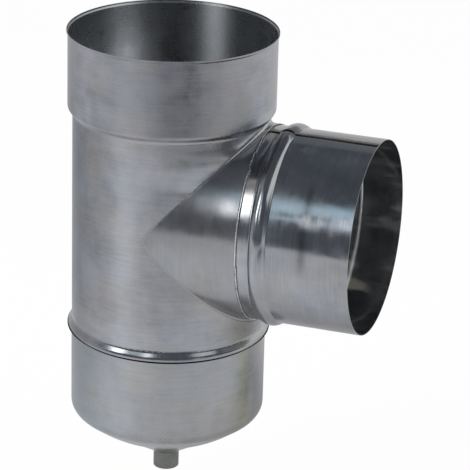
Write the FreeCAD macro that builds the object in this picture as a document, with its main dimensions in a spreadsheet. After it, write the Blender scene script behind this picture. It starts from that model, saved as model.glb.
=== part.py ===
import FreeCAD, Part
import math
import os
import Sketcher

# Single-wall stainless flue tee, 90 degrees, for a 153 mm stove pipe.
# The run stands upright along Z. The origin lies on its axis, where the straight bore
# of the top socket begins, just under the lip. The branch leaves along +X.
# Depths are measured down from the rim of the top mouth, and stations along the branch
# are measured out from the run's axis.

doc = FreeCAD.newDocument("flue_tee")
sizes = doc.addObject("Spreadsheet::Sheet", "Sizes")

DRIVING = [
    # The sheet that every drawn piece is made of
    ("sheet_gauge", 0.5, "stainless sheet"),
    # Run tube
    ("body_od", 153, "outside diameter of the run"),
    ("socket_out", 3.8, "how far the expanded top socket stands out from the run"),
    ("socket_depth", 60.6, "mouth to the foot of the socket"),
    ("lip_out", 0.9, "how far the mouth's lip stands out"),
    ("lip_drop", 2.4, "height of the mouth's lip"),
    ("shoulder_drop", 4.6, "height of the shoulder under the socket"),
    ("shoulder_round", 4, "rounding of the shoulder's two bends"),
    ("crotch_above", 3.1, "foot of the shoulder to the branch's collar"),
    ("crotch_below", 14, "branch's collar to the root of the stop bead"),
    ("bead_out", 3.4, "how far the stop bead stands out"),
    ("bead_drop", 7.2, "height of the stop bead"),
    ("bead_root_round", 4, "rounding of the stop bead's root"),
    ("bead_flange", 1.6, "upright edge of the stop bead"),
    ("bead_bend", 0.9, "rounding of the stop bead's lower edge"),
    ("male_in", 0.6, "how far the male lower end steps in from the run"),
    ("male_length", 50, "length of the male lower end"),
    # Branch
    ("collar_in", 0.3, "how much the collar's radius is under the run's"),
    ("collar_stand", 3.5, "run's wall to the collar's edge"),
    ("spigot_lap", 9, "length of the spigot inside the collar"),
    ("lap_gap", 0.2, "gap all round between spigot and collar"),
    ("ridge_stand", 15.6, "collar's edge to the crest of the stop ridge"),
    ("ridge_width", 14.6, "where the stop ridge starts to where it stops"),
    ("ridge_out", 3.1, "how far the stop ridge stands out"),
    ("ridge_root_round", 1.8, "rounding of the stop ridge's roots"),
    ("spigot_stand", 86.6, "collar's edge to the branch's mouth"),
    # Drain cap and nipple
    ("cap_slip", 0.3, "gap all round between cap and male end"),
    ("cap_gap", 1.8, "stop bead to the cap's rim"),
    ("cap_depth", 68, "cap's rim to the outer edge of its coned floor"),
    ("cap_corner", 10, "rounding between the cap's wall and floor"),
    ("floor_fall", 40.7, "fall of the coned floor to the drain"),
    ("nipple_od", 20.4, "outside diameter of the drain nipple"),
    ("nipple_wall", 1.2, "wall of the drain nipple"),
    ("nipple_slip", 0.1, "gap between the nipple and the floor that it passes through"),
    ("nipple_length", 14.5, "drain hole to the nipple's end"),
    ("nipple_edge", 0.4, "chamfer at the nipple's end"),
    ("nipple_weld", 1.2, "how far the ring weld stands out from the nipple"),
]

DERIVED = [
    ("body_radius", "=body_od / 2"),
    ("socket_radius", "=body_radius + socket_out"),
    ("lip_radius", "=socket_radius + lip_out"),
    ("lip_foot", "=lip_drop / 2"),
    ("shoulder_foot", "=socket_depth + shoulder_drop"),
    ("collar_radius", "=body_radius - collar_in"),
    ("branch_depth", "=shoulder_foot + crotch_above + collar_radius"),
    ("bead_root", "=branch_depth + collar_radius + crotch_below"),
    ("bead_radius", "=body_radius + bead_out"),
    ("bead_edge", "=bead_root + bead_drop - bead_flange"),
    ("bead_foot", "=bead_root + bead_drop"),
    ("male_radius", "=body_radius - male_in"),
    ("run_end", "=bead_foot + male_length"),
    ("collar_od", "=2 * collar_radius"),
    ("collar_bore", "=collar_od - 2 * sheet_gauge"),
    ("spigot_radius", "=collar_radius - sheet_gauge - lap_gap"),
    ("collar_end", "=body_radius + collar_stand"),
    ("tail_station", "=collar_end - spigot_lap"),
    ("ridge_station", "=collar_end + ridge_stand"),
    ("ridge_start", "=ridge_station - ridge_width / 2"),
    ("ridge_stop", "=ridge_station + ridge_width / 2"),
    ("ridge_arcs", "=(ridge_width * ridge_width / 4 + ridge_out * ridge_out) / (2 * ridge_out)"),
    ("ridge_crest_round", "=ridge_arcs - ridge_root_round"),
    ("branch_reach", "=collar_end + spigot_stand"),
    ("cap_radius", "=male_radius + cap_slip + sheet_gauge"),
    ("cap_rim", "=bead_foot + cap_gap"),
    ("floor_depth", "=cap_rim + cap_depth"),
    ("drain_depth", "=floor_depth + floor_fall"),
    ("drain_hole", "=nipple_od + 2 * nipple_slip"),
    ("drain_hole_radius", "=drain_hole / 2"),
    ("nipple_radius", "=nipple_od / 2"),
    ("nipple_bore_radius", "=nipple_radius - nipple_wall"),
    ("nipple_tip_radius", "=nipple_radius - nipple_edge"),
    ("nipple_top", "=drain_depth - sheet_gauge"),
    ("floor_slope", "=floor_fall / (cap_radius - drain_hole_radius)"),
    ("weld_top", "=drain_depth + nipple_slip * (1 + floor_slope)"),
    ("weld_edge", "=weld_top - nipple_weld * floor_slope"),
    ("weld_foot", "=weld_top + nipple_weld"),
    ("weld_radius", "=nipple_radius + nipple_weld"),
    ("nipple_end", "=drain_depth + nipple_length"),
    ("nipple_edge_top", "=nipple_end - nipple_edge"),
    ("run_level", "=lip_drop"),
    ("branch_level", "=lip_drop - branch_depth"),
]


def fillSheet():
    row = 1
    for name, value, meaning in DRIVING:
        sizes.set("A%d" % row, meaning)
        sizes.set("B%d" % row, str(value))
        sizes.setAlias("B%d" % row, name)
        row += 1
    for name, formula in DERIVED:
        sizes.set("A%d" % row, name)
        sizes.set("B%d" % row, formula)
        sizes.setAlias("B%d" % row, name)
        row += 1
    doc.recompute()


def size(name):
    return float(sizes.get(name))


def newBody(name):
    body = doc.addObject("PartDesign::Body", name)
    body.Label = name
    return body


def newSketch(body, name, role):
    sketch = body.newObject("Sketcher::SketchObject", name)
    plane = [feature for feature in body.Origin.OriginFeatures if feature.Role == role][0]
    sketch.AttachmentSupport = (plane, [""])
    sketch.MapMode = "FlatFace"
    return sketch


def bind(sketch, constraint, alias):
    index = sketch.addConstraint(constraint)
    sketch.setExpression("Constraints[%d]" % index, "Sizes." + alias)


def place(sketch, line, end, across, along, side):
    # One corner of an outline: its distances from the sketch's origin are cells of the sheet.
    # side is -1 where the second coordinate is a depth, so that it runs down.
    if across == "":
        sketch.addConstraint(Sketcher.Constraint("PointOnObject", line, end, -2))
    else:
        bind(sketch, Sketcher.Constraint("DistanceX", -1, 1, line, end, size(across)), across)
    if along == "":
        sketch.addConstraint(Sketcher.Constraint("PointOnObject", line, end, -1))
    elif side < 0:
        bind(sketch, Sketcher.Constraint("DistanceY", line, end, -1, 1, size(along)), along)
    else:
        bind(sketch, Sketcher.Constraint("DistanceY", -1, 1, line, end, size(along)), along)


def addArc(sketch, start, middle, stop):
    # An arc and the numbers of its ends, in the outline's own direction. A sketch's arcs run
    # anticlockwise, so one that turns the other way is drawn from its stop back to its start.
    if (middle - start).cross(stop - middle).z > 0:
        return sketch.addGeometry(Part.Arc(start, middle, stop), False), 1, 2
    return sketch.addGeometry(Part.Arc(stop, middle, start), False), 2, 1


def bendPoints(before, corner, after, radius):
    # Where a bend of the given radius starts, its middle, and where it stops.
    back = (before - corner).normalize()
    onward = (after - corner).normalize()
    half = back.getAngle(onward) / 2
    trim = radius / math.tan(half)
    middle = corner + (back + onward).normalize() * (radius / math.sin(half) - radius)
    return corner + back * trim, middle, corner + onward * trim


def outline(sketch, corners, side):
    # Straight lines through corners. A corner is a pair of cell names, with "" for the axis,
    # and has a third one where a bend of that radius rounds it off.
    points = []
    for corner in corners:
        x = size(corner[0]) if corner[0] else 0
        y = side * size(corner[1]) if corner[1] else 0
        points.append(FreeCAD.Vector(x, y, 0))
    arriving = list(points)
    leaving = list(points)
    middles = {}
    for i, corner in enumerate(corners):
        if len(corner) == 3:
            trio = bendPoints(points[i - 1], points[i], points[i + 1], size(corner[2]))
            arriving[i], middles[i], leaving[i] = trio
    lines = []
    for start, stop in zip(leaving, arriving[1:]):
        lines.append(sketch.addGeometry(Part.LineSegment(start, stop), False))
    place(sketch, lines[0], 1, corners[0][0], corners[0][1], side)
    for i in range(1, len(lines)):
        before, after, corner = lines[i - 1], lines[i], corners[i]
        if i in middles:
            arc, first, last = addArc(sketch, arriving[i], middles[i], leaving[i])
            sketch.addConstraint(Sketcher.Constraint("Tangent", before, 2, arc, first))
            sketch.addConstraint(Sketcher.Constraint("Tangent", arc, last, after, 1))
            bind(sketch, Sketcher.Constraint("Radius", arc, size(corner[2])), corner[2])
            tip = sketch.addGeometry(Part.Point(points[i]), True)
            sketch.addConstraint(Sketcher.Constraint("PointOnObject", tip, 1, before))
            sketch.addConstraint(Sketcher.Constraint("PointOnObject", tip, 1, after))
            place(sketch, tip, 1, corner[0], corner[1], side)
        else:
            sketch.addConstraint(Sketcher.Constraint("Coincident", before, 2, after, 1))
            place(sketch, after, 1, corner[0], corner[1], side)
    place(sketch, lines[-1], 2, corners[-1][0], corners[-1][1], side)
    return lines


def ridgeArcs(sketch, before, after, root, crest):
    # A rolled ridge between two lines in a row: a root arc, the crest's arc and a root arc,
    # each smooth with the next, standing out to the left of the lines' way.
    start = sketch.Geometry[before].EndPoint
    stop = sketch.Geometry[after].StartPoint
    along = (stop - start).normalize()
    aside = FreeCAD.Vector(-along.y, along.x, 0)
    rootRound = size(root)
    crestRound = size(crest)
    span = rootRound + crestRound
    rise = math.sqrt(span * span - (stop - start).Length ** 2 / 4)
    heart = (start + stop) / 2 + aside * (rootRound - rise)
    joints = []
    rootMiddles = []
    for foot in (start, stop):
        centre = foot + aside * rootRound
        joint = centre + (heart - centre).normalize() * rootRound
        joints.append(joint)
        rootMiddles.append(centre + (foot + joint - centre * 2).normalize() * rootRound)
    arcs = [
        addArc(sketch, start, rootMiddles[0], joints[0]),
        addArc(sketch, joints[0], heart + aside * crestRound, joints[1]),
        addArc(sketch, joints[1], rootMiddles[1], stop),
    ]
    chain = [(before, 1, 2)] + arcs + [(after, 1, 2)]
    for here, there in zip(chain, chain[1:]):
        sketch.addConstraint(Sketcher.Constraint("Tangent", here[0], here[2], there[0], there[1]))
    for arc, alias in zip(arcs, (root, crest, root)):
        bind(sketch, Sketcher.Constraint("Radius", arc[0], size(alias)), alias)


def closeOutline(sketch, last, first):
    # The straight line from the end of an outline back to its start.
    start = sketch.Geometry[last].EndPoint
    stop = sketch.Geometry[first].StartPoint
    line = sketch.addGeometry(Part.LineSegment(start, stop), False)
    sketch.addConstraint(Sketcher.Constraint("Coincident", last, 2, line, 1))
    sketch.addConstraint(Sketcher.Constraint("Coincident", line, 2, first, 1))


def circle(sketch, alias, below=""):
    # A circle of the given diameter, on the sketch's origin or a depth below it.
    y = -size(below) if below else 0
    curve = Part.Circle(FreeCAD.Vector(0, y, 0), FreeCAD.Vector(0, 0, 1), size(alias) / 2)
    ring = sketch.addGeometry(curve, False)
    place(sketch, ring, 3, "", below, -1)
    bind(sketch, Sketcher.Constraint("Diameter", ring, size(alias)), alias)


def revolve(body, name, sketch, axis):
    turned = body.newObject("PartDesign::Revolution", name)
    turned.Profile = sketch
    turned.ReferenceAxis = (sketch, [axis])
    turned.Angle = 360
    doc.recompute()
    return turned


def endFaces(feature, axis, positions):
    # The flat faces square to an axis at the given places along it.
    found = []
    for i, face in enumerate(feature.Shape.Faces):
        if not isinstance(face.Surface, Part.Plane):
            continue
        if abs(abs(face.Surface.Axis.dot(axis)) - 1) > 1e-6:
            continue
        if min(abs(face.CenterOfMass.dot(axis) - position) for position in positions) < 0.01:
            found.append("Face%d" % (i + 1))
    return found


def hollow(body, name, feature, faces):
    # Turns a solid of the outer form into a sheet of even gauge, open at the given faces.
    shell = body.newObject("PartDesign::Thickness", name)
    shell.Base = (feature, faces)
    shell.Mode = "Skin"
    shell.Join = "Intersection"
    shell.Reversed = True
    shell.setExpression("Value", "Sizes.sheet_gauge")
    doc.recompute()
    return shell


def makeRunTube():
    body = newBody("run_tube")
    up = FreeCAD.Vector(0, 0, 1)
    profile = newSketch(body, "run_profile", "XZ_Plane")
    lines = outline(profile, [
        ("", ""), ("lip_radius", ""), ("lip_radius", "lip_foot"), ("socket_radius", "lip_drop"),
        ("socket_radius", "socket_depth", "shoulder_round"),
        ("body_radius", "shoulder_foot", "shoulder_round"),
        ("body_radius", "bead_root", "bead_root_round"), ("bead_radius", "bead_edge"),
        ("bead_radius", "bead_foot", "bead_bend"), ("male_radius", "bead_foot"),
        ("male_radius", "run_end"), ("", "run_end"),
    ], -1)
    closeOutline(profile, lines[-1], lines[0])
    solid = revolve(body, "run_form", profile, "V_Axis")
    hollow(body, "run_sheet", solid, endFaces(solid, up, [0, -size("run_end")]))
    opening = newSketch(body, "branch_opening_circle", "YZ_Plane")
    circle(opening, "collar_bore", "branch_depth")
    saddle = body.newObject("PartDesign::Pocket", "branch_opening")
    saddle.Profile = opening
    saddle.Type = "ThroughAll"
    saddle.Reversed = True
    body.setExpression("Placement.Base.z", "Sizes.run_level")
    doc.recompute()
    return body


def makeBranchCollar():
    body = newBody("branch_collar")
    rings = newSketch(body, "collar_rings", "YZ_Plane")
    circle(rings, "collar_od")
    circle(rings, "collar_bore")
    tube = body.newObject("PartDesign::Pad", "collar_tube")
    tube.Profile = rings
    tube.setExpression("Length", "Sizes.collar_end")
    doc.recompute()
    seat = newSketch(body, "run_outside", "XY_Plane")
    circle(seat, "body_od")
    saddle = body.newObject("PartDesign::Pocket", "saddle_cut")
    saddle.Profile = seat
    saddle.Type = "ThroughAll"
    saddle.Midplane = True
    body.setExpression("Placement.Base.z", "Sizes.branch_level")
    doc.recompute()
    return body


def makeBranchSpigot():
    body = newBody("branch_spigot")
    out = FreeCAD.Vector(1, 0, 0)
    profile = newSketch(body, "spigot_profile", "XZ_Plane")
    tail = outline(profile, [
        ("tail_station", ""), ("tail_station", "spigot_radius"), ("ridge_start", "spigot_radius"),
    ], 1)
    pipe = outline(profile, [
        ("ridge_stop", "spigot_radius"), ("branch_reach", "spigot_radius"), ("branch_reach", ""),
    ], 1)
    ridgeArcs(profile, tail[-1], pipe[0], "ridge_root_round", "ridge_crest_round")
    closeOutline(profile, pipe[-1], tail[0])
    solid = revolve(body, "spigot_form", profile, "H_Axis")
    ends = endFaces(solid, out, [size("tail_station"), size("branch_reach")])
    hollow(body, "spigot_sheet", solid, ends)
    body.setExpression("Placement.Base.z", "Sizes.branch_level")
    doc.recompute()
    return body


def makeDrainCap():
    body = newBody("drain_cap")
    up = FreeCAD.Vector(0, 0, 1)
    profile = newSketch(body, "cap_profile", "XZ_Plane")
    lines = outline(profile, [
        ("", "cap_rim"), ("cap_radius", "cap_rim"), ("cap_radius", "floor_depth", "cap_corner"),
        ("drain_hole_radius", "drain_depth"), ("", "drain_depth"),
    ], -1)
    closeOutline(profile, lines[-1], lines[0])
    solid = revolve(body, "cap_form", profile, "V_Axis")
    hollow(body, "cap_sheet", solid, endFaces(solid, up, [-size("cap_rim")]))
    hole = newSketch(body, "drain_hole_circle", "XY_Plane")
    circle(hole, "drain_hole")
    drain = body.newObject("PartDesign::Pocket", "drain_opening")
    drain.Profile = hole
    drain.Type = "ThroughAll"
    drain.Midplane = True
    body.setExpression("Placement.Base.z", "Sizes.run_level")
    doc.recompute()
    return body


def makeDrainNipple():
    body = newBody("drain_nipple")
    profile = newSketch(body, "nipple_profile", "XZ_Plane")
    lines = outline(profile, [
        ("nipple_bore_radius", "nipple_top"), ("nipple_radius", "nipple_top"), ("nipple_radius", "weld_top"),
        ("weld_radius", "weld_edge"), ("nipple_radius", "weld_foot"), ("nipple_radius", "nipple_edge_top"),
        ("nipple_tip_radius", "nipple_end"), ("nipple_bore_radius", "nipple_end"),
    ], -1)
    closeOutline(profile, lines[-1], lines[0])
    revolve(body, "nipple_tube", profile, "V_Axis")
    body.setExpression("Placement.Base.z", "Sizes.run_level")
    doc.recompute()
    return body


fillSheet()
pieces = [makeRunTube(), makeBranchCollar(), makeBranchSpigot(), makeDrainCap(), makeDrainNipple()]
doc.recompute()

for item in doc.Objects:
    if "Invalid" in item.State or "Error" in item.State:
        raise RuntimeError("%s did not recompute: %s" % (item.Label, item.State))
for piece in pieces:
    shape = piece.Shape
    if shape.isNull() or not shape.isValid() or len(shape.Solids) != 1:
        raise RuntimeError("%s is not one valid solid" % piece.Label)

os.makedirs("parts", exist_ok=True)
for piece in pieces:
    piece.Shape.exportStep("parts/%s.step" % piece.Label)
    print("%s: %.0f mm3 of metal" % (piece.Label, piece.Shape.Volume))
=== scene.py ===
import math
from types import SimpleNamespace

import bpy
import numpy as np
from mathutils import Matrix, Vector


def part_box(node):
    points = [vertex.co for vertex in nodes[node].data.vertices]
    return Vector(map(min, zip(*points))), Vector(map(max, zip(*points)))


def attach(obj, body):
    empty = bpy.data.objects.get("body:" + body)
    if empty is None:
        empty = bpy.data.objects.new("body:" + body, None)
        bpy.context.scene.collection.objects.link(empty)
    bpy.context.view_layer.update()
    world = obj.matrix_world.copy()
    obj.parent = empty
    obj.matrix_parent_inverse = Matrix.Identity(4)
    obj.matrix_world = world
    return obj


# Stainless flue tee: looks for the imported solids, in metres, in the frame of the part.
# +Z runs up the pipe, +X out along the branch, and the photo looks at it from -Y.

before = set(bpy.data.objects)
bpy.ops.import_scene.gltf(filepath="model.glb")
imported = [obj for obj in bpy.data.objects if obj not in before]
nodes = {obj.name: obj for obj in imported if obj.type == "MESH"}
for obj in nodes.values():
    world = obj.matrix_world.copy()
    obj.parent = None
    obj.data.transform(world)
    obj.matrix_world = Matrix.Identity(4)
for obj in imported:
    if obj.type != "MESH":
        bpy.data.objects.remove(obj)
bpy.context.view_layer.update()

collarLow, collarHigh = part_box("branch_collar")
branchHeight = (collarLow.z + collarHigh.z) / 2
collarRadius = (collarHigh.z - collarLow.z) / 2
collarEnd = collarHigh.x
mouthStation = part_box("branch_spigot")[1].x
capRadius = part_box("drain_cap")[1].x
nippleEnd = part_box("drain_nipple")[0].z

# The run's wall and the branch's profile, which no box gives. Depths are under the origin, stations
# along the branch.
pipe = dict(
    bodyRadius=0.0765,
    socketRadius=0.0803,
    sheet=0.0005,
    socketFoot=0.0582,
    shoulderFoot=0.0628,
    shoulderRound=0.0040,
    beadRoot=0.2310,
    beadFoot=0.2395,
    capRim=0.2413,
    spigotRadius=0.0755,
    ridgeStation=0.0956,
    ridgeHalf=0.0073,
    ridgeOut=0.0031,
    rootRound=0.0018,
)


# Meshes from grids of points

def gridObject(name, points, closeAlong, closeAcross, marks=None, capEnds=False):
    # points is rows x columns x 3. Each cell of four neighbours is a face, and a closed
    # direction joins its last row or column to the first. An open tube can get a face at each end.
    rows, columns = points.shape[:2]
    down = np.arange(rows if closeAlong else rows - 1)
    over = np.arange(columns if closeAcross else columns - 1)
    i, j = np.meshgrid(down, over, indexing="ij")
    nextI, nextJ = (i + 1) % rows, (j + 1) % columns
    corners = ((i, j), (nextI, j), (nextI, nextJ), (i, nextJ))
    faces = np.stack([row * columns + column for row, column in corners], axis=-1).reshape(-1, 4)
    loops = faces.reshape(-1)
    starts = np.arange(len(faces)) * 4
    if capEnds:
        first = np.arange(columns)
        last = (rows - 1) * columns + first[::-1]
        starts = np.concatenate([starts, [len(loops), len(loops) + columns]])
        loops = np.concatenate([loops, first, last])
    mesh = bpy.data.meshes.new(name)
    mesh.vertices.add(rows * columns)
    mesh.vertices.foreach_set("co", points.reshape(-1).astype(np.float32))
    mesh.loops.add(len(loops))
    mesh.loops.foreach_set("vertex_index", loops.astype(np.int32))
    mesh.polygons.add(len(starts))
    mesh.polygons.foreach_set("loop_start", starts.astype(np.int32))
    mesh.polygons.foreach_set("use_smooth", np.ones(len(starts), bool))
    for markName, values in (marks or {}).items():
        attribute = mesh.attributes.new(markName, "FLOAT", "POINT")
        attribute.data.foreach_set("value", values.reshape(-1).astype(np.float32))
    mesh.update(calc_edges=True)
    mesh.validate()
    made = bpy.data.objects.new(name, mesh)
    bpy.context.scene.collection.objects.link(made)
    return made


def joinObjects(name, parts):
    # One mesh from several that need no moving
    bpy.ops.object.select_all(action="DESELECT")
    for part in parts:
        part.select_set(True)
    bpy.context.view_layer.objects.active = parts[0]
    bpy.ops.object.join()
    parts[0].name = name
    parts[0].data.name = name
    return parts[0]


def wobble(angle, waves, fall):
    # A sum of whole waves round a ring, so that it closes. Each number of waves gives its phase too,
    # and each next one is weaker.
    total = np.zeros_like(angle)
    for k, wave in enumerate(waves):
        total += np.sin(angle * wave + 1.7 * k * wave) / (1 + k) ** fall
    return total


def onBranch(station, radius, angle):
    # Points round the branch: the angle runs from its top towards the photo
    return np.stack([station, -radius * np.sin(angle), radius * np.cos(angle) + branchHeight], axis=-1)


def acrossMark(look, shape):
    # From one foot of a weld to the other, with 0 on the hidden column that closes it
    across = np.concatenate([np.linspace(-1, 1, look["across"]), [0]])
    return {"across": np.broadcast_to(across[::-1], shape)}


# Saddle weld, where the branch's collar meets the run

saddleLook = dict(
    turns=720,
    across=9,
    sideWidth=0.0008,  # half width of the weld along the sides
    crotchWidth=0.0042,  # and in the two crotches, where it is a real root radius
    crotchPower=5,  # how late it widens towards them
    lift=0.00003,
    ripple=0.00004,
    waves=(311, 173, 97),
    waveFall=0.7,
    sunk=0.0003,
)


def ringSlope(values):
    # Difference between the neighbours of each point on a closed ring
    return (np.roll(values, -1) - np.roll(values, 1)) / 2


def moveSquare(first, second, slopeFirst, slopeSecond, width):
    # A curve on a flat sheet, moved square to itself by the width
    size = np.hypot(slopeFirst, slopeSecond)
    return first - slopeSecond * width / size, second + slopeFirst * width / size


def saddlePoints(look):
    # The seam is where the collar's cylinder enters the run's: y = collar radius times sin t,
    # z = its cos t, x = what is left of the run's radius. On each sheet, rolled out flat, the
    # weld's edge is the seam moved square to itself by the weld's half width. The last result is
    # the direction out of the crotch between the two sheets.
    t = np.linspace(0, 2 * math.pi, look["turns"], endpoint=False)
    radius, run = collarRadius, pipe["bodyRadius"]
    y = radius * np.sin(t)
    z = radius * np.cos(t)
    x = np.sqrt(run ** 2 - y ** 2)
    seam = np.stack([x, y, z + branchHeight], axis=-1)
    widening = np.abs(np.cos(t)) ** look["crotchPower"]
    width = look["sideWidth"] + (look["crotchWidth"] - look["sideWidth"]) * widening
    flat = np.zeros_like(t)
    around = np.arcsin(y / run) * run
    edgeAround, edgeHeight = moveSquare(around, z, ringSlope(around), ringSlope(z), width)
    turn = edgeAround / run
    onRun = np.stack([np.cos(turn) * run, np.sin(turn) * run, edgeHeight + branchHeight], axis=-1)
    runOut = np.stack([np.cos(turn), np.sin(turn), flat], axis=-1)
    arc = radius * t
    edgeArc, edgeStation = moveSquare(arc, x, flat + (arc[1] - arc[0]), ringSlope(x), width)
    turn = edgeArc / radius
    onCollar = np.stack([edgeStation, radius * np.sin(turn), radius * np.cos(turn) + branchHeight], axis=-1)
    collarOut = np.stack([flat, np.sin(turn), np.cos(turn)], axis=-1)
    out = runOut + collarOut
    out /= np.linalg.norm(out, axis=-1, keepdims=True)
    return t, seam, onRun + runOut * look["lift"], onCollar + collarOut * look["lift"], out


def makeSaddleWeld(look):
    # Between the two edges runs a quadratic curve with the seam as its handle, so it leaves both
    # sheets smoothly. The last column lies under the seam and closes the weld.
    t, seam, onRun, onCollar, out = saddlePoints(look)
    v = np.linspace(0, 1, look["across"])[None, :, None]
    top = onRun[:, None] * (1 - v) ** 2 + seam[:, None] * 2 * v * (1 - v) + onCollar[:, None] * v ** 2
    scallop = look["ripple"] * wobble(t, look["waves"], look["waveFall"])[:, None, None] * np.sin(math.pi * v)
    under = seam - out * look["sunk"]
    points = np.concatenate([top + out[:, None] * scallop, under[:, None]], axis=1)
    return gridObject("saddle_weld", points[:, ::-1], True, True, acrossMark(look, points.shape[:2]))


# Jagged cut edge of the collar

edgeLook = dict(
    turns=900,
    back=0.0014,  # how far the edge strip reaches back over the collar
    lift=0.00002,
    rise=0.0005,  # where it begins to stand up, before the cut
    crest=0.00015,  # and where it is highest
    proud=0.00028,
    proudSpread=0.35,
    proudWaves=(11, 17, 31),
    proudFall=0.5,
    jag=0.00011,
    jagWaves=(7, 13, 23, 37),
    jagFall=0.6,
    stepTurn=0.006,  # radians over which a step rises
    stepFade=0.09,  # and over which it dies away
    # degrees from the branch's top and height of each step
    steps=(
        (16, 0.0004), (27, -0.0005), (38, 0.0005), (-22, 0.0004), (-41, -0.0004), (97, 0.0003),
        (152, -0.0003),
    ),
)


def makeCollarEdge(look):
    # A thin ring over the collar's cut end. Its far edge stands at the collar's end plus a ragged
    # amount: whole waves round the ring, and a few small steps, each a smooth stair at its own angle.
    t = np.linspace(0, 2 * math.pi, look["turns"], endpoint=False)
    ragged = look["jag"] * wobble(t, look["jagWaves"], look["jagFall"])
    for degrees, rise in look["steps"]:
        gap = (t - math.radians(degrees) + math.pi) % (2 * math.pi) - math.pi
        ragged = ragged + rise * np.exp(-(gap / look["stepFade"]) ** 2) * np.tanh(gap / look["stepTurn"])
    end = collarEnd + np.clip(ragged, -look["back"] / 2, None)
    uneven = wobble(t, look["proudWaves"], look["proudFall"])
    burr = look["proud"] * (1 + look["proudSpread"] * uneven)
    start = np.full_like(t, collarEnd - look["back"])
    inner = np.full_like(t, collarRadius - pipe["sheet"])
    profile = [
        (start, np.full_like(t, collarRadius + look["lift"])),
        (end - look["rise"], collarRadius + burr * 0.5),
        (end - look["crest"], collarRadius + burr),
        (end, collarRadius + burr * 0.4),
        (end, inner),
        (start, inner),
    ]
    station, reach = (np.stack(values, axis=1) for values in zip(*profile))
    return gridObject("collar_edge", onBranch(station, reach, t[:, None]), True, True)


# Long welds: the spigot's on top, the run's at the back

seamLook = dict(
    spigotAngle=3.0,  # degrees from the top towards the photo
    spigotTail=0.004,  # how far it starts inside the collar
    mouthGap=0.00005,
    runStart=0.0015,
    runGap=0.0005,  # its end to the stop bead's root
    halfWidth=0.0026,
    height=0.00050,
    runShare=0.8,  # the run's weld has this share of the height
    groove=0.35,  # flat part of each half
    fullness=0.8,
    lift=0.00003,
    sunk=0.00025,
    rows=520,
    across=11,
    ripplePitch=0.0011,
    ripple=0.00004,
    drift=0.0004,  # how far the weld strays to each side
    spigotDrift=90,  # radians per metre
    runDrift=60,
)


def ridgeRise(station):
    # Height of the rolled ridge over the spigot: a root arc up to where it meets the crest's arc
    root, out, half = pipe["rootRound"], pipe["ridgeOut"], pipe["ridgeHalf"]
    crest = (half ** 2 + out ** 2) / (2 * out) - root
    u = np.abs(station - pipe["ridgeStation"])
    joint = half * crest / (root + crest)
    rootRise = root - np.sqrt(np.clip(root ** 2 - (half - u) ** 2, 0, None))
    crestRise = out - crest + np.sqrt(np.clip(crest ** 2 - u ** 2, 0, None))
    return np.where(u > half, 0, np.where(u > joint, rootRise, crestRise))


def runRadiusAt(depth):
    # The run's outside at a depth under the origin: socket, a bend, straight shoulder, a bend, body
    bend = pipe["shoulderRound"]
    slope = (pipe["socketRadius"] - pipe["bodyRadius"]) / (pipe["shoulderFoot"] - pipe["socketFoot"])
    turn = math.atan(slope)
    trim = bend * math.tan(turn / 2)
    above = depth - (pipe["socketFoot"] - trim)
    below = pipe["shoulderFoot"] + trim - depth
    reach = bend * math.sin(turn)
    cone = pipe["socketRadius"] - (depth - pipe["socketFoot"]) * slope
    outerBend = pipe["socketRadius"] - bend + np.sqrt(np.clip(bend ** 2 - above ** 2, 0, None))
    innerBend = pipe["bodyRadius"] + bend - np.sqrt(np.clip(bend ** 2 - below ** 2, 0, None))
    return np.select([above < 0, above < reach, below > reach, below > 0],
                     [pipe["socketRadius"], outerBend, cone, innerBend], pipe["bodyRadius"])


def weldStrip(look, along, wall, middle, radius, drift, share):
    # Rows run along a wall, columns across the weld. A point lies over the wall by the bead's height,
    # a rounded hump with a flat foot on each side, and by its ripple, at the weld's angle plus its
    # part of the width. The last column lies under the sheet and closes the weld.
    v = np.linspace(-1, 1, look["across"])
    hump = np.clip(1 - (v / (1 - look["groove"])) ** 2, 0, None) ** look["fullness"] * look["height"] * share
    beat = np.sin(along * 2 * math.pi / look["ripplePitch"])[:, None] * look["ripple"] * (1 - v ** 2)[None]
    height = wall[:, None] + hump[None] + beat + look["lift"]
    stray = look["drift"] * np.sin(along * drift)[:, None]
    angle = middle + (v[None] * look["halfWidth"] + stray) / radius
    height = np.concatenate([height, wall[:, None] - look["sunk"]], axis=1)
    return height, np.concatenate([angle, angle[:, look["across"] // 2, None]], axis=1)


def makeSpigotSeam(look):
    # Along the spigot's top, over its ridge, from inside the collar to the mouth
    station = np.linspace(collarEnd - look["spigotTail"], mouthStation - look["mouthGap"], look["rows"])
    radius = pipe["spigotRadius"]
    middle = math.radians(look["spigotAngle"])
    wall = radius + ridgeRise(station)
    height, angle = weldStrip(look, station, wall, middle, radius, look["spigotDrift"], 1.0)
    points = onBranch(np.broadcast_to(station[:, None], height.shape), height, angle)
    marks = acrossMark(look, height.shape)
    return gridObject("spigot_seam", points[:, ::-1], False, True, marks, True)


def makeRunSeam(look):
    # The same bead down the run's back, on the side away from the branch
    depth = np.linspace(look["runStart"], pipe["beadRoot"] - look["runGap"], look["rows"])
    wall = runRadiusAt(depth)
    height, angle = weldStrip(look, depth, wall, 0.0, pipe["bodyRadius"], look["runDrift"], look["runShare"])
    down = np.broadcast_to(-depth[:, None], height.shape)
    points = np.stack([-height * np.cos(angle), height * np.sin(angle), down], axis=-1)
    marks = acrossMark(look, height.shape)
    return gridObject("run_seam", points[:, ::-1], False, True, marks, True)


# Dished floor of the cap

dishLook = dict(
    cornerDepth=0.3093,  # under the origin: where the wall and the cone would meet
    cornerRound=0.0100,
    slope=0.6130,
    outerRadius=0.0765,
    innerRadius=0.0360,
    bulge=0.0013,
    tuck=0.00002,  # how far both edges of the skin lie inside the cone
    sunk=0.0003,
    turns=240,
    columns=48,
)


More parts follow.
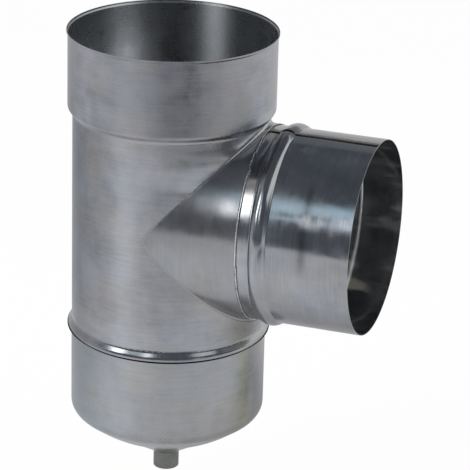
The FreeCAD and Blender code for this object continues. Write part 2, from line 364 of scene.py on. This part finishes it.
def floorPoint(radius, look):
    # The cap's outside at a distance from the axis, and its outward normal: the rounded corner
    # as an arc, then the cone. Angles are measured from the wall's own direction.
    lean = math.pi / 2 - math.atan(look["slope"])
    trim = look["cornerRound"] * math.tan(lean / 2)
    heart = capRadius - look["cornerRound"]
    arc = np.arccos(np.clip((radius - heart) / look["cornerRound"], -1, 1))
    depthArc = look["cornerDepth"] - trim + look["cornerRound"] * np.sin(arc)
    depthCone = look["cornerDepth"] + (capRadius - radius) * look["slope"]
    turn = np.minimum(arc, lean)
    return np.where(arc < lean, depthArc, depthCone), np.cos(turn), np.sin(turn)


def makeDish(look):
    # The real floor is a little fuller than the cone: a skin on it that swells by four times
    # s times one minus s, squared, where s runs from the corner to the drain's side.
    s = np.linspace(0, 1, look["columns"])
    radius = look["outerRadius"] + (look["innerRadius"] - look["outerRadius"]) * s
    depth, outX, outZ = floorPoint(radius, look)
    swell = look["bulge"] * (4 * s * (1 - s)) ** 2 - look["tuck"]
    outer = np.stack([radius + outX * swell, depth + outZ * swell], axis=-1)
    inner = np.stack([radius - outX * look["sunk"], depth - outZ * look["sunk"]], axis=-1)
    reach, down = np.concatenate([outer, inner[::-1]]).T
    t = np.linspace(0, 2 * math.pi, look["turns"], endpoint=False)[:, None]
    level = np.broadcast_to(-down, (look["turns"], len(down)))
    points = np.stack([reach * np.cos(t), reach * np.sin(t), level], axis=-1)
    return gridObject("cap_dish", points[:, ::-1], True, True)


# Tack welds that hold the spigot in the collar

tackLook = dict(
    degrees=(102, 112.5, 121, 171, 184, 239, 247.5, 258, 320, 331),
    halfLength=0.0013,
    halfWidth=0.0006,
    height=0.0004,
    tuck=0.00005,  # how far a tack's border lies inside the collar
    hub=0.02,  # the innermost ring, as a share of the tack
    rings=6,
    sides=18,
    back=0.0006,  # collar's edge to the row of tacks
)


def makeTack(look, degrees, number):
    # A shallow dome on the collar: height falls with the square of the distance from its middle
    share = np.linspace(look["hub"], 1, look["rings"])[:, None]
    turn = np.linspace(0, 2 * math.pi, look["sides"], endpoint=False)[None]
    rise = look["height"] * (1 - share ** 2) - look["tuck"] * share
    station = collarEnd - look["back"] + look["halfWidth"] * share * np.cos(turn)
    angle = math.radians(degrees) + look["halfLength"] * share * np.sin(turn) / collarRadius
    points = onBranch(station, collarRadius + rise, angle)
    return gridObject("tack_%02d" % number, points[:, ::-1], False, True, None, True)


def makeTacks(look):
    return joinObjects("tack_welds", [makeTack(look, d, i) for i, d in enumerate(look["degrees"])])


# Materials

class Wire:
    # A shader socket that takes part in ordinary arithmetic
    def __init__(self, tree, socket):
        self.tree = tree
        self.socket = socket

    def combine(self, operation, left, right):
        node = self.tree.nodes.new("ShaderNodeMath")
        node.operation = operation
        for slot, value in zip(node.inputs, (left, right)):
            if isinstance(value, Wire):
                self.tree.links.new(value.socket, slot)
            else:
                slot.default_value = value
        return Wire(self.tree, node.outputs[0])

    def __add__(self, other):
        return self.combine("ADD", self, other)

    def __radd__(self, other):
        return self.combine("ADD", other, self)

    def __sub__(self, other):
        return self.combine("SUBTRACT", self, other)

    def __rsub__(self, other):
        return self.combine("SUBTRACT", other, self)

    def __mul__(self, other):
        return self.combine("MULTIPLY", self, other)

    def __rmul__(self, other):
        return self.combine("MULTIPLY", other, self)

    def __truediv__(self, other):
        return self.combine("DIVIDE", self, other)


class Graph:
    # A tree of nodes, and the one way in which its nodes are made
    def __init__(self, tree):
        self.tree = tree
        tree.nodes.clear()

    def add(self, kind, settings=None, sockets=None, out=0):
        # out names one output, or several in a tuple
        node = self.tree.nodes.new(kind)
        for key, value in (settings or {}).items():
            if key == "stops":
                ramp = node.color_ramp
                while len(ramp.elements) < len(value):
                    ramp.elements.new(0.5)
                for element, (position, colour) in zip(ramp.elements, value):
                    element.position = position
                    element.color = colour
            else:
                setattr(node, key, value)
        for key, value in (sockets or {}).items():
            if isinstance(value, Wire):
                self.tree.links.new(value.socket, node.inputs[key])
            else:
                node.inputs[key].default_value = value
        if isinstance(out, tuple):
            return [Wire(self.tree, node.outputs[key]) for key in out]
        return Wire(self.tree, node.outputs[out])

    def maths(self, operation, value, other=0.0):
        return self.add("ShaderNodeMath", {"operation": operation}, {0: value, 1: other})

    def bell(self, gap):
        # 1 where the gap is 0, and e to the minus square of it beside
        return self.maths("EXPONENT", gap * gap * -1.0)

    def noise(self, where, scale, detail, roughness, stretch=(1, 1, 1)):
        mapped = self.add("ShaderNodeMapping", None, {"Vector": where, "Scale": stretch})
        return self.add("ShaderNodeTexNoise", None, {
            "Vector": mapped, "Scale": scale, "Detail": detail, "Roughness": roughness}, "Fac")

    def ramp(self, value, stops):
        return self.add("ShaderNodeValToRGB", {"stops": stops}, {"Fac": value}, "Color")

    def range(self, value, fromLow, fromHigh, toLow, toHigh):
        return self.add("ShaderNodeMapRange", {"interpolation_type": "SMOOTHSTEP"}, {
            "Value": value, "From Min": fromLow, "From Max": fromHigh,
            "To Min": toLow, "To Max": toHigh}, "Result")

    def blend(self, share, first, second, how="MIX"):
        # Sockets 6 and 7 and output 2 are the node's ones for colours
        settings = {"data_type": "RGBA", "blend_type": how}
        return self.add("ShaderNodeMix", settings, {0: share, 6: first, 7: second}, 2)

    def mixShaders(self, share, first, second):
        return self.add("ShaderNodeMixShader", None, {0: share, 1: first, 2: second})

    def emission(self, colour, strength=1.0):
        return self.add("ShaderNodeEmission", None, {"Color": colour, "Strength": strength})

    def axes(self, where):
        return self.add("ShaderNodeSeparateXYZ", None, {0: where}, (0, 1, 2))

    def seenBy(self):
        # 1 where the camera looks, where the metal does, and where glass does
        return self.add("ShaderNodeLightPath", None, None, (
            "Is Camera Ray", "Is Glossy Ray", "Is Transmission Ray"))

    def close(self, shader, kind="ShaderNodeOutputMaterial"):
        output = self.tree.nodes.new(kind)
        self.tree.links.new(shader.socket, output.inputs["Surface"])


# Tone of the black matt film that paints shade
gapShadeTone = 0.012


class Finish(Graph):
    # One material
    def __init__(self, name):
        self.material = bpy.data.materials.new(name)
        self.material.use_nodes = True
        super().__init__(self.material.node_tree)
        self.place = self.add("ShaderNodeTexCoord", out="Object")

    def bump(self, height, distance, under=None):
        sockets = {"Height": height, "Distance": distance}
        if under is not None:
            sockets["Normal"] = under
        return self.add("ShaderNodeBump", None, sockets, "Normal")

    def shine(self, colour, roughness, normal=None, metallic=1.0, fixed=None, dirt=None):
        # Gap shade is the share of the surface that lies under a black matt film: painted shade
        sockets = {"Base Color": colour, "Roughness": roughness, "Metallic": metallic}
        sockets.update(fixed or {})
        if normal is not None:
            sockets["Normal"] = normal
        shader = self.add("ShaderNodeBsdfPrincipled", None, sockets, "BSDF")
        if dirt is not None:
            shadeFilm = self.add("ShaderNodeBsdfDiffuse", None, {"Color": grey(gapShadeTone)}, "BSDF")
            shader = self.mixShaders(dirt, shader, shadeFilm)
        self.close(shader)
        return self.material


def grey(value, warm=0.0):
    # Warm makes it redder and less blue, and below 0 the other way round
    return (value * (1 + warm), value, value * (1 - warm), 1)


def weighted(wires, shares):
    # Sum of the wires, each times its share
    total = wires[0] * shares[0]
    for wire, share in zip(wires[1:], shares[1:]):
        total = total + wire * share
    return total


# Steel sheets

sheetLooks = {
    "run_sheet": dict(
        tone=0.40, spread=0.07, rough=0.28, roughSpread=0.05, swell=0.0010, flutes=0.0016,
        brushed=0.5, hue=(0.98, 0.995, 1.035, 1), axis="z"),
    "cap_sheet": dict(
        tone=0.435, spread=0.06, rough=0.30, roughSpread=0.05, swell=0.0005, flutes=0.0005,
        brushed=0.4, hue=(0.985, 1.0, 1.02, 1), axis="z"),
    "collar_sheet": dict(
        tone=0.415, spread=0.045, rough=0.23, roughSpread=0.04, swell=0.0007, flutes=0,
        brushed=0, hue=(0.98, 0.998, 1.03, 1), axis="x"),
    "spigot_sheet": dict(
        tone=0.415, spread=0.06, rough=0.17, roughSpread=0.06, swell=0.0010, flutes=0,
        brushed=0, hue=(0.98, 1.0, 1.035, 1), axis="x"),
}

# Scale, detail and roughness of each pattern, how much of clouds, stains and grain is in the tone
# and in the roughness, and between which values of that sum they change
patterns = dict(
    clouds=(38, 4, 0.6),
    stains=(80, 3, 0.5),
    grain=(35, 3, 0.6),
    grainStretch=24,
    grainDepth=0.000005,
    tint=(24, 2, 0.5),
    swell=(14, 1.5, 0.4),
    smallSwell=(33, 1, 0.4),
    smallShare=0.5,
    flutes=(26, 2, 0.5, (1, 1, 0.06)),
    toneShares=(0.45, 0.25, 0.30),
    roughShares=(0.3, 0.5, 0.2),
    low=0.36,
    high=0.64,
    casts=((0.32, (0.97, 1.0, 1.035, 1)), (0.5, (1, 1, 1, 1)), (0.68, (1.04, 1.0, 0.95, 1))),
)

# Inside the pipe: duller, with two painted highlights, paler stripes down the run, by their angle and half
# width
insideLook = dict(
    turnover=0.001,  # metres over which the outside becomes the inside
    metal=0.97,
    dim=0.85,
    warm=-0.04,
    paintedLightStripes=((86, 9, 1.0), (140, 13, 0.55)),
    paintedLightMetal=0.45,
    paintedLightTone=0.62,
)

# Painted reflections: soft upright lighter and darker bands on the sheets, some tinted. Angle round the pipe
# and half width in degrees, colour factor, and the heights between which they run
reflectionBandEnd = 0.003  # half the height over which a band fades out at its ends
paintedReflectionBands = {
    "run_sheet": (
        (-126, 11, (1.28, 1.28, 1.32, 1), -0.060, 0.01),
        (-73, 15, (0.73, 0.73, 0.75, 1), -0.060, 0.01),
        (-40, 16, (0.86, 0.85, 0.84, 1), -0.060, 0.01),
        (-139, 12, (0.76, 0.81, 0.88, 1), -0.231, -0.063),
        (-98, 8, (1.15, 1.16, 1.16, 1), -0.231, -0.063),
        (-24, 10, (0.80, 0.78, 0.69, 1), -0.236, -0.190),
    ),
    "cap_sheet": (
        (-135, 20, (0.82, 0.87, 0.90, 1), -0.36, -0.2),
        (-60, 20, (0.93, 0.93, 0.92, 1), -0.36, -0.2),
        (-19, 6, (1.0, 1.0, 0.82, 1), -0.36, -0.2),
    ),
}


def addPaintedReflections(finish, skin, bands):
    # Each band of painted reflection multiplies the outside's colour, by a bell round the pipe
    outside = 1.0 - skin.inside
    for middle, width, colour, low, high in bands:
        share = finish.bell((skin.turn - middle) / width) * outside
        share = share * finish.range(skin.z, low - reflectionBandEnd, low + reflectionBandEnd, 0.0, 1.0)
        share = share * finish.range(skin.z, high - reflectionBandEnd, high + reflectionBandEnd, 1.0, 0.0)
        skin.base = finish.blend(share, skin.base, colour, "MULTIPLY")


# The collar opens out towards the run, from a station on
flareLook = dict(start=0.088, lean=0.35, ease=0.055)


def collarDetail(finish, skin):
    # Its height for the bump grows with the distance from the flare's start, gently at first
    reach = finish.maths("MAXIMUM", flareLook["start"] - skin.x, 0.0)
    fade = finish.maths("EXPONENT", reach * (-1 / flareLook["ease"]))
    skin.height = skin.height + (reach - (1.0 - fade) * flareLook["ease"]) * flareLook["lean"]


# The flat band before the spigot's ridge leans back a little
bandLook = dict(end=0.0878, tilt=0.17)

# A crease round the spigot, with a painted dark reflection towards the camera, between two heights over its
# axis
creaseLook = dict(
    station=0.1305,
    width=0.0036,
    step=0.00008,
    stray=0.004,
    strayPattern=(60, 3, 0.6),
    darkReflection=0.55,
    darkReflectionTone=0.12,
    low=(-0.015, 0.005),
    high=(0.045, 0.062),
)

# A rolled line round the spigot's inside, a bump with a pale painted highlight along it, and dull brownish
# clouds there
ringLook = dict(station=0.1330, width=0.0012, rise=0.00045, tone=0.75)
burnLook = dict(
    pattern=(55, 2, 0.5, (0.35, 1, 1)),
    low=0.5,
    high=0.7,
    metal=0.4,
    colour=(0.40, 0.37, 0.32, 1),
)


def spigotDetail(finish, skin):
    reach = finish.maths("MAXIMUM", bandLook["end"] - skin.x, 0.0)
    stray = (finish.noise(finish.place, *creaseLook["strayPattern"]) - 0.5) * creaseLook["stray"]
    gap = (skin.x + stray - creaseLook["station"]) / creaseLook["width"]
    step = finish.maths("TANH", gap)
    skin.height = skin.height - reach * bandLook["tilt"] - step * creaseLook["step"]
    above = finish.range(skin.up, *creaseLook["low"], 0.0, 1.0)
    below = finish.range(skin.up, *creaseLook["high"], 1.0, 0.0)
    # Painted dark reflection along the crease
    darkReflection = finish.bell(gap) * (above * below) * (1.0 - skin.inside) * creaseLook["darkReflection"]
    skin.base = finish.blend(darkReflection, skin.base, grey(creaseLook["darkReflectionTone"]))

    ring = finish.bell((skin.x - ringLook["station"]) / ringLook["width"]) * skin.inside
    skin.height = skin.height + ring * ringLook["rise"]
    clouds = finish.noise(finish.place, *burnLook["pattern"])
    burn = finish.range(clouds, burnLook["low"], burnLook["high"], 0.0, 1.0) * skin.inside
    skin.base = finish.blend(burn, skin.base, burnLook["colour"])
    # The rolled line's pale, less metallic tone is a painted highlight
    skin.base = finish.blend(ring, skin.base, grey(ringLook["tone"]))
    skin.metal = skin.metal - (burn + ring) * burnLook["metal"]


# Painted shade in the gap under the stop bead: a black matt film from the bead's edge down to the cap.
# Towards the pipe's sides, as the camera sees them, it reaches higher up the edge. Front is the level
# direction to the camera.
dirtLook = dict(
    share=0.95,
    soft=0.0003,
    edge=0.0009,
    limb=0.0018,  # how much higher at the sides
    front=(0.342, -0.940),
    reach=0.078,  # metres towards the camera over which that is lost
    foot=0.002,  # how softly it ends inside the cap
)


def capDetail(finish, skin):
    # Painted shade: the cap's rim under the stop bead gets the black matt film
    skin.dirt = finish.range(skin.z, -pipe["capRim"] - dirtLook["soft"], -pipe["capRim"], 0.0, 1.0)


def runGapShade(finish, skin):
    toCamera = skin.x * dirtLook["front"][0] + skin.y * dirtLook["front"][1]
    limb = finish.range(toCamera, 0.0, dirtLook["reach"], 1.0, 0.0)
    edge = limb * dirtLook["limb"] + (dirtLook["edge"] - pipe["beadFoot"])
    top = finish.range(skin.z, edge - dirtLook["soft"], edge + dirtLook["soft"], 1.0, 0.0)
    foot = finish.range(skin.z, -pipe["capRim"] - dirtLook["foot"], -pipe["capRim"], 0.0, 1.0)
    return top * foot * dirtLook["share"]


# The stretched sheet of the stop bead is smoother and shines more
polish = dict(share=0.35, reach=0.005, calm=0.02, least=0.05)

# The sheet is drawn up to the seam in the upper crotch, between two heights over the branch's axis
crotchLook = dict(rise=0.0115, fade=0.014, low=0.040, high=0.072, side=0.02)

# The bead's cone rolls over into its upright edge
lipLook = dict(top=-0.2354, edge=-0.2379, curl=118)


def runDetail(finish, skin):
    # Painted shade in the gap under the stop bead
    skin.dirt = runGapShade(finish, skin)
    root = -pipe["beadRoot"]
    rub = finish.range(skin.z, root, root + polish["reach"], 1.0, 0.0)
    skin.rough = skin.rough * (1.0 - rub * polish["share"])
    skin.calm = finish.range(skin.z, root, root + polish["calm"], polish["least"], 1.0)

    off = finish.maths("SQRT", skin.y * skin.y + skin.up * skin.up) - collarRadius
    pull = finish.maths("EXPONENT", off * (-1 / crotchLook["fade"]))
    near = finish.range(skin.up, crotchLook["low"], crotchLook["high"], 0.0, 1.0)
    near = near * finish.range(skin.x, 0.0, crotchLook["side"], 0.0, 1.0)
    rolled = finish.add("ShaderNodeClamp", None, {
        "Value": lipLook["top"] - skin.z, "Min": 0.0, "Max": lipLook["top"] - lipLook["edge"]})
    skin.height = skin.height * skin.calm + pull * near * crotchLook["rise"]
    skin.height = skin.height - rolled * rolled * lipLook["curl"]

    # Painted highlights: two paler stripes down the inside
    glow = 0.0
    for middle, width, strength in insideLook["paintedLightStripes"]:
        glow = glow + finish.bell((skin.turn - middle) / width) * strength
    glow = glow * skin.inside
    skin.base = finish.blend(glow, skin.base, grey(insideLook["paintedLightTone"], insideLook["warm"]))
    skin.metal = skin.metal - glow * insideLook["paintedLightMetal"]


ownDetail = {
    "run_sheet": runDetail,
    "cap_sheet": capDetail,
    "collar_sheet": collarDetail,
    "spigot_sheet": spigotDetail,
}


def sheetFinish(slot, look):
    # Mill sheet: a grain rolled round the pipe, cloudy stains, a little warm and cool, and a wavy skin.
    # Inside the pipe the sheet is duller. What only one sheet has is added by its own function.
    finish = Finish(slot)
    where = finish.place
    skin = SimpleNamespace(calm=1.0, dirt=None)
    skin.x, skin.y, skin.z = finish.axes(where)
    skin.up = skin.z - branchHeight
    nx, ny, nz = finish.axes(finish.add("ShaderNodeTexCoord", out="Normal"))
    upright = look["axis"] == "z"
    facing = skin.x * nx + skin.y * ny if upright else skin.y * ny + skin.up * nz
    skin.inside = finish.range(facing, -insideLook["turnover"], insideLook["turnover"], 1.0, 0.0)
    skin.turn = finish.maths("ARCTAN2", skin.y, skin.x) * (180 / math.pi)

    clouds = finish.noise(where, *patterns["clouds"])
    stains = finish.noise(where, *patterns["stains"])
    stretch = patterns["grainStretch"]
    grain = finish.noise(where, *patterns["grain"], (1, 1, stretch) if upright else (stretch, 1, 1))
    low, high = patterns["low"], patterns["high"]
    tone = weighted((clouds, stains, grain), patterns["toneShares"])
    dark, light = grey(look["tone"] - look["spread"]), grey(look["tone"] + look["spread"])
    base = finish.ramp(tone, ((low, dark), (high, light)))
    cast = finish.ramp(finish.noise(where, *patterns["tint"]), patterns["casts"])
    base = finish.blend(1.0, base, cast, "MULTIPLY")
    base = finish.blend(1.0, base, look["hue"], "MULTIPLY")
    skin.base = finish.blend(skin.inside, base, grey(look["tone"] * insideLook["dim"], insideLook["warm"]))
    # Painted reflections: upright lighter and darker bands
    addPaintedReflections(finish, skin, paintedReflectionBands.get(slot, ()))

    uneven = weighted((clouds, stains, grain), patterns["roughShares"])
    smooth, dull = look["rough"] - look["roughSpread"], look["rough"] + look["roughSpread"]
    skin.rough = finish.range(uneven, low, high, smooth, dull)
    skin.height = finish.noise(where, *patterns["swell"]) * look["swell"]
    small = look["swell"] * patterns["smallShare"]
    skin.height = skin.height + finish.noise(where, *patterns["smallSwell"]) * small
    if look["flutes"]:
        skin.height = skin.height + finish.noise(where, *patterns["flutes"]) * look["flutes"]
    skin.metal = finish.range(skin.inside, 0, 1, 1.0, insideLook["metal"])
    ownDetail[slot](finish, skin)
    bent = finish.bump(skin.height, 1.0)
    bent = finish.bump(grain * skin.calm, patterns["grainDepth"], bent)
    return finish.shine(skin.base, skin.rough, bent, skin.metal, {"Anisotropic": look["brushed"]}, skin.dirt)


# Small pieces of steel: two tones in clouds, and where it has one, a grain

cloudLooks = {
    "nipple_tube": dict(
        clouds=(160, 4, 0.6), dark=(0.3, (0.22, 0.23, 0.205, 1)), light=(0.7, (0.31, 0.315, 0.29, 1)),
        rough=(0.38, 0.5), grain=(400, 2, 0.5, (1, 1, 8)), grainDepth=0.00001),
    "cut_edge": dict(
        clouds=(300, 3, 0.6), dark=(0.3, grey(0.55)), light=(0.7, grey(0.85)), rough=(0.12, 0.3)),
    "tack_burn": dict(
        clouds=(500, 2, 0.5), dark=(0.35, (0.12, 0.11, 0.12, 1)), light=(0.7, (0.3, 0.26, 0.24, 1)),
        rough=0.4),
}
cloudRange = (0.3, 0.7)  # what a pattern of clouds runs between, near enough


def cloudFinish(name):
    look = cloudLooks[name]
    finish = Finish(name)
    clouds = finish.noise(finish.place, *look["clouds"])
    rough, bent = look["rough"], None
    if isinstance(rough, tuple):
        rough = finish.range(clouds, *cloudRange, *rough)
    if "grain" in look:
        bent = finish.bump(finish.noise(finish.place, *look["grain"]), look["grainDepth"])
    return finish.shine(finish.ramp(clouds, (look["dark"], look["light"])), rough, bent)


# Welds: a colour in the middle, another along both feet, and heat tint in patches

weldLooks = {
    # The long welds' near black feet are a dark joint with painted shade of the lapped sheet along it
    "seam_weld": dict(
        middle=(0.15, 0.145, 0.14, 1), feet=(0.025, 0.024, 0.024, 1), burnt=(0.13, 0.105, 0.08, 1)),
    "saddle_weld": dict(
        middle=(0.40, 0.405, 0.415, 1), feet=(0.37, 0.375, 0.385, 1), burnt=(0.38, 0.37, 0.36, 1)),
}
weldSkin = dict(
    feet=(0.10, 0.45),  # squares of the place across the weld between which the feet begin
    tint=(75, 2, 0.5),
    burnt=(0.4, 0.65),
    rough=(0.14, 0.24),
    ripple=(900, 2, 0.5),
    rippleDepth=0.00003,
)


def weldFinish(name):
    look = weldLooks[name]
    finish = Finish(name)
    across = finish.add("ShaderNodeAttribute", {"attribute_name": "across"}, None, "Fac")
    feet = finish.range(across * across, *weldSkin["feet"], 0.0, 1.0)
    tint = finish.noise(finish.place, *weldSkin["tint"])
    hot = finish.ramp(tint, tuple(zip(weldSkin["burnt"], (look["middle"], look["burnt"]))))
    rough = finish.range(tint, *cloudRange, *weldSkin["rough"])
    bent = finish.bump(finish.noise(finish.place, *weldSkin["ripple"]), weldSkin["rippleDepth"])
    return finish.shine(finish.blend(feet, hot, look["feet"]), rough, bent)


print("materials for the sheets")
for slotName, slotLook in sheetLooks.items():
    for node in nodes.values():
        for slot in node.material_slots:
            if slot.material and slot.material.name.split(".")[0] == slotName:
                slot.material = sheetFinish(slotName, slotLook)
for slot in nodes["drain_nipple"].material_slots:
    slot.material = cloudFinish("nipple_tube")

print("saddle weld, cut edge, long welds, tacks and the cap's floor")
seamSteel = weldFinish("seam_weld")
newPieces = [
    (makeSaddleWeld(saddleLook), weldFinish("saddle_weld"), "collar_sheet"),
    (makeCollarEdge(edgeLook), cloudFinish("cut_edge"), "collar_sheet"),
    (makeSpigotSeam(seamLook), seamSteel, "spigot_sheet"),
    (makeRunSeam(seamLook), seamSteel, "run_sheet"),
    (makeTacks(tackLook), cloudFinish("tack_burn"), "collar_sheet"),
    (makeDish(dishLook), nodes["drain_cap"].material_slots[0].material, "cap_sheet"),
]
for piece, steel, slotName in newPieces:
    piece.data.materials.clear()
    piece.data.materials.append(steel)
    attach(piece, "cap" if slotName == "cap_sheet" else "tee")

# Stage: floor, white surround and studio cards that only the metal sees

stageLook = dict(
    floorDrop=0.0005,
    pullRoom=0.056,
    floorHalf=3.0,
    floorTint=(0.985, 0.99, 1.02, 1),
    floorTone=0.78,  # what the metal sees of the white floor
    matte=(0.95, 0.95, 0.95, 1),
    shadowShare=0.06,
    worldTint=(0.98, 0.99, 1.0, 1),
    worldLight=0.72,
)

# Painted shade and light on the floor, as the metal sees them: middle, half widths and depth
floorPatches = (
    dict(middle=(0.09, 0.02), width=(0.12, 0.12), depth=0.34),  # shade under the tee
    # painted shade behind the tee
    dict(middle=(0.12, 0.17), width=(0.20, 0.10), depth=0.30),
    dict(middle=(0.24, 0.115), width=(0.08, 0.08), depth=0.42),  # shade under the branch
    # painted shadow of the camera and its stand
    dict(middle=(0.68, -0.87), width=(0.50, 0.36), depth=0.92),  # camera and its stand
    dict(middle=(-0.85, 0.15), width=(0.62, 0.75), depth=0.42),
    dict(middle=(-0.14, -0.24), width=(0.09, 0.14), depth=-0.28),  # light from the window
    dict(middle=(-0.31, -0.54), width=(0.15, 0.26), depth=-0.34),
)


def floorPlane(name, height):
    # One square face that looks up
    half = stageLook["floorHalf"]
    sides = np.array([-half, half])
    x, y = np.meshgrid(sides, sides, indexing="ij")
    return gridObject(name, np.stack([x, y, np.full_like(x, height)], axis=-1), False, False)


def seenByMetalOnly(card):
    # Reflections show it, and it neither lights nor shades anything dull
    card.visible_camera = False
    card.visible_diffuse = False
    card.visible_shadow = False


def makeFloor(look):
    # The camera sees this one, white with the tee's shadow, and nothing of it from underneath.
    # It lies low enough for the pulled cap.
    floor = floorPlane("floor", nippleEnd - look["floorDrop"] - look["pullRoom"])
    finish = Finish("floor")
    camera, glossy, clear = finish.seenBy()
    matte = finish.add("ShaderNodeBsdfDiffuse", None, {"Color": look["matte"]})
    white = finish.emission((1, 1, 1, 1))
    shown = finish.mixShaders(camera * (1 - look["shadowShare"]) + glossy + clear, matte, white)
    below = finish.add("ShaderNodeNewGeometry", None, None, "Backfacing")
    through = finish.add("ShaderNodeBsdfTransparent")
    finish.close(finish.mixShaders(below, shown, through))
    floor.data.materials.append(finish.material)


def makeMirrorFloor(look):
    # What the metal sees of the floor, right under the nipple
    card = floorPlane("card_floor", nippleEnd - look["floorDrop"])
    finish = Finish("card_floor")
    x, y, z = finish.axes(finish.place)
    tone = 1.0
    for patch in floorPatches:
        gapX = (x - patch["middle"][0]) / patch["width"][0]
        gapY = (y - patch["middle"][1]) / patch["width"][1]
        fall = finish.maths("EXPONENT", (gapX * gapX + gapY * gapY) * -1.0)
        tone = tone * (1.0 - fall * patch["depth"])
    finish.close(finish.emission(look["floorTint"], tone * look["floorTone"]))
    card.data.materials.append(finish.material)
    seenByMetalOnly(card)


def makeWorld(look):
    # White to the camera, the metal and glass, and a softer light on everything else
    world = bpy.data.worlds.new("surround")
    world.use_nodes = True
    bpy.context.scene.world = world
    graph = Graph(world.node_tree)
    camera, glossy, clear = graph.seenBy()
    white = graph.add("ShaderNodeBackground", None, {"Color": (1, 1, 1, 1), "Strength": 1.0})
    plain = graph.add("ShaderNodeBackground", None, {
        "Color": look["worldTint"], "Strength": look["worldLight"]})
    graph.close(graph.mixShaders(camera + glossy + clear, plain, white), "ShaderNodeOutputWorld")


# Each card is a rectangle that faces the tee. Place is the azimuth and elevation of its middle, as
# the tee sees it, and its distance; size is its width and height; colour is its tone to the metal.
# Soft is the share of each half over which it fades out towards its border, and cloud how strongly
# clouds cover it.
cards = {
    "overhead": dict(place=(-90, 90, 1.6), size=(2.2, 3.3), colour=(0.11, 0.12, 0.14)),
    "roomFront": dict(place=(-95, 18, 1.9), size=(5.6, 2.5), colour=(0.13, 0.14, 0.16)),
    "roomLeft": dict(place=(180, 20, 1.9), size=(3.6, 2.5), colour=(0.20, 0.21, 0.23)),
    "roomRight": dict(place=(-5, 13, 2.0), size=(2.4, 1.1), colour=(0.15, 0.16, 0.18)),
    "backLow": dict(place=(110, 4, 2.0), size=(3.4, 1.2), colour=(0.62, 0.62, 0.63)),
    "leftLow": dict(place=(175, 8, 1.8), size=(3.0, 1.3), colour=(0.44, 0.44, 0.45)),
    "backHigh": dict(place=(110, 33, 1.9), size=(3.4, 0.95), colour=(0.20, 0.21, 0.23)),
    "blueWindow": dict(
        place=(-111, 38, 1.5), size=(0.62, 0.80), colour=(0.79, 1.02, 1.16), cloud=0.85, soft=0.5),
    "lightPanel": dict(place=(-134, 29, 1.5), size=(0.44, 0.90), colour=(4.2, 4.25, 4.3), soft=0.6),
    "whiteSpot": dict(place=(-98.5, 30.5, 1.5), size=(0.20, 0.64), colour=(3.6, 3.65, 3.7), soft=0.9),
    "backPanel": dict(place=(137, 47, 1.5), size=(0.66, 0.56), colour=(1.7, 1.72, 1.75), soft=0.5),
}
cloudLook = dict(pattern=(5, 2, 0.5), low=0.36, high=0.64, colour=(0.16, 0.19, 0.22, 1))

# Lamps light the floor and what is dull. The metal sees the cards instead.
lamps = {
    "keyLamp": dict(place=(-125, 48, 1.7), size=0.6, power=12),
    "fillLamp": dict(place=(-20, 35, 2.0), size=0.9, power=9),
}
stageCentre = Vector((0.08, -0.03, -0.13))


def outward(azimuth, elevation):
    # Unit direction out from the middle of the stage
    a, e = math.radians(azimuth), math.radians(elevation)
    return (math.cos(a) * math.cos(e), math.sin(a) * math.cos(e), math.sin(e))


def makeCard(name, look):
    # Corners are the middle plus or minus half the width along the card's own level direction
    # and half the height along its own upright one.
    azimuth, elevation, distance = look["place"]
    width, height = look["size"]
    out = np.array(outward(azimuth, elevation))
    level = np.array([-math.sin(math.radians(azimuth)), math.cos(math.radians(azimuth)), 0])
    upright = np.cross(out, level)
    middle = np.array(stageCentre) + out * distance
    sides = np.array([-0.5, 0.5])
    grid = middle + level * sides[:, None, None] * width + upright * sides[None, :, None] * height
    ends = np.array([[-1, -1], [1, 1]])
    card = gridObject("card_" + name, grid, False, False, {"across": ends, "upwards": ends.T})
    finish = Finish("card_" + name)
    colour = (*look["colour"], 1)
    if "cloud" in look:
        pattern = finish.noise(finish.place, *cloudLook["pattern"])
        share = finish.range(pattern, cloudLook["low"], cloudLook["high"], 0.0, look["cloud"])
        colour = finish.blend(share, colour, cloudLook["colour"])
    glow = finish.emission(colour)
    if "soft" in look:
        share = 1.0
        for mark in ("across", "upwards"):
            reach = finish.add("ShaderNodeAttribute", {"attribute_name": mark}, None, "Fac")
            share = share * finish.range(reach * reach, (1 - look["soft"]) ** 2, 1.0, 1.0, 0.0)
        glow = finish.mixShaders(share, finish.add("ShaderNodeBsdfTransparent"), glow)
    finish.close(glow)
    card.data.materials.append(finish.material)
    seenByMetalOnly(card)


def makeLamp(name, look):
    azimuth, elevation, distance = look["place"]
    out = Vector(outward(azimuth, elevation))
    data = bpy.data.lights.new(name, "AREA")
    data.size = look["size"]
    data.energy = look["power"]
    lamp = bpy.data.objects.new(name, data)
    lamp.location = stageCentre + out * distance
    lamp.rotation_euler = out.to_track_quat("Z", "Y").to_euler()
    lamp.visible_glossy = False
    bpy.context.scene.collection.objects.link(lamp)


print("stage, cards and lamps")
makeFloor(stageLook)
makeMirrorFloor(stageLook)
makeWorld(stageLook)
for cardName, cardLook in cards.items():
    makeCard(cardName, cardLook)
for lampName, lampLook in lamps.items():
    makeLamp(lampName, lampLook)

# Camera, fitted to the photo

shot = dict(
    place=(0.6459, -1.77308, 0.57724),
    right=(0.94503, 0.32601, 0.02509),
    up=(-0.14135, 0.33814, 0.93042),
    back=(0.29485, -0.88282, 0.36564),
    lens=198.343,
    sensor=36.0,
    sight=20,
)


def makeCamera(look):
    data = bpy.data.cameras.new("photoCamera")
    data.sensor_fit = "HORIZONTAL"
    data.sensor_width = look["sensor"]
    data.lens = look["lens"]
    data.clip_end = look["sight"]
    camera = bpy.data.objects.new("photoCamera", data)
    turn = Matrix((look["right"], look["up"], look["back"])).transposed()
    camera.matrix_world = Matrix.Translation(look["place"]) @ turn.to_4x4()
    bpy.context.scene.collection.objects.link(camera)
    bpy.context.scene.camera = camera


makeCamera(shot)
bpy.context.scene.view_settings.view_transform = "Standard"

print("done: camera set")
